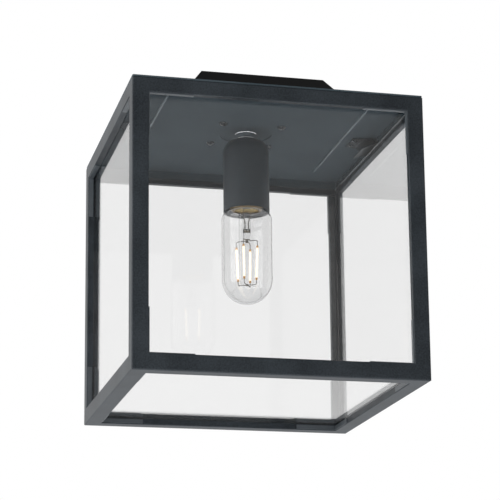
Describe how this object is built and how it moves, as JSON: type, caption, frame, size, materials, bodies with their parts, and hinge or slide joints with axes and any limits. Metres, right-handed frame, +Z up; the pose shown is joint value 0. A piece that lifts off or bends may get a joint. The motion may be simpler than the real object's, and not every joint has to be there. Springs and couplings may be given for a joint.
{
  "type": "porch ceiling lantern",
  "caption": "Square glazed porch lantern that mounts flat on a ceiling: a pressed pan, a flat tray, a lift-off cage of lipped metal sections with clear panes, and a bare tubular filament lamp",
  "frame": {"origin": "midway between the two ceiling slots, in the plane of the pan's flat ceiling face, which bears on the ceiling", "axes": "+Z up into the ceiling, -Y the front face of the cage, +X to the right; everything hangs below z = 0"},
  "size_m": [0.25, 0.25, 0.2783],
  "materials": {
    "black_gloss_paint": "satin black paint on pressed steel",
    "black_rubber": "matte moulded rubber",
    "zinc_steel": "zinc plated",
    "terminal_plastic": "moulded off-white",
    "brass": "plain turned and pressed brass",
    "brown_insulation": "silicone lead, brown",
    "blue_insulation": "silicone lead, blue",
    "green_insulation": "silicone lead, green with yellow",
    "graphite_powder_coat": "fine-textured graphite powder coat on folded sheet",
    "spring_steel": "darkened spring steel",
    "chrome": "polished plate",
    "holder_paint": "smooth satin grey paint on a drawn cup",
    "holder_ceramic": "unglazed white ceramic",
    "pane_glass": "clear float glass",
    "strip_coat": "smooth grey coat",
    "cap_brass": "rolled thin brass",
    "black_ceramic": "black vitrite",
    "bulb_glass": "thin clear blown glass",
    "wire_steel": "drawn support wire",
    "filament_phosphor": "glowing phosphor-coated filament strip"
  },
  "bodies": {
    "base": {"ceiling_pan": "black_gloss_paint", "cable_grommet": "black_rubber", "pan_standoffs": "zinc_steel", "terminal_block": "terminal_plastic", "terminal_inserts": "brass", "terminal_screws": "zinc_steel", "earth_stud": "zinc_steel", "earth_nut": "zinc_steel", "earth_tag": "brass", "lead_live": "brown_insulation", "lead_neutral": "blue_insulation", "lead_earth": "green_insulation", "tray": "graphite_powder_coat", "tray_screws": "graphite_powder_coat", "rim_strips": "graphite_powder_coat", "clip_feet": "spring_steel", "clip_rivets": "zinc_steel", "nipple": "brass", "nipple_locknut": "zinc_steel", "collar_nut": "chrome", "holder_cup": "holder_paint", "cup_nut": "zinc_steel", "holder_core": "holder_ceramic", "screw_shell": "brass", "centre_contact": "brass"},
    "clip_left": {"clip_left": "spring_steel"},
    "clip_right": {"clip_right": "spring_steel"},
    "cage": {"post_front_left": "graphite_powder_coat", "post_front_right": "graphite_powder_coat", "post_back_right": "graphite_powder_coat", "post_back_left": "graphite_powder_coat", "top_rail_front": "graphite_powder_coat", "top_rail_right": "graphite_powder_coat", "top_rail_back": "graphite_powder_coat", "top_rail_left": "graphite_powder_coat", "bottom_rail_front": "graphite_powder_coat", "bottom_rail_right": "graphite_powder_coat", "bottom_rail_back": "graphite_powder_coat", "bottom_rail_left": "graphite_powder_coat", "pane_front": "pane_glass", "pane_right": "pane_glass", "pane_back": "pane_glass", "pane_left": "pane_glass", "pane_bottom": "pane_glass", "corner_strips": "strip_coat"},
    "lamp": {"lamp_cap": "cap_brass", "lamp_insulator": "black_ceramic", "lamp_contact": "zinc_steel", "lamp_bulb": "bulb_glass", "lamp_stem": "bulb_glass", "lamp_wires": "wire_steel", "lamp_filaments": "filament_phosphor"}
  },
  "joints": [
    {"name": "cage_drop", "type": "slide", "parent": "base", "child": "cage", "axis": [0, 0, -1], "range_m": [0, 0.17]},
    {"name": "lamp_unscrew", "type": "slide", "parent": "base", "child": "lamp", "axis": [0, 0, -1], "range_m": [0, 0.028]},
    {"name": "clip_left_flex", "type": "hinge", "parent": "base", "child": "clip_left", "pos_m": [-0.1071, 0, -0.033], "axis": [0, -1, 0], "range_deg": [0, 6], "stiffness_Nm_per_rad": 0.3},
    {"name": "clip_right_flex", "type": "hinge", "parent": "base", "child": "clip_right", "pos_m": [0.1071, 0, -0.033], "axis": [0, 1, 0], "range_deg": [0, 6], "stiffness_Nm_per_rad": 0.3}
  ]
}
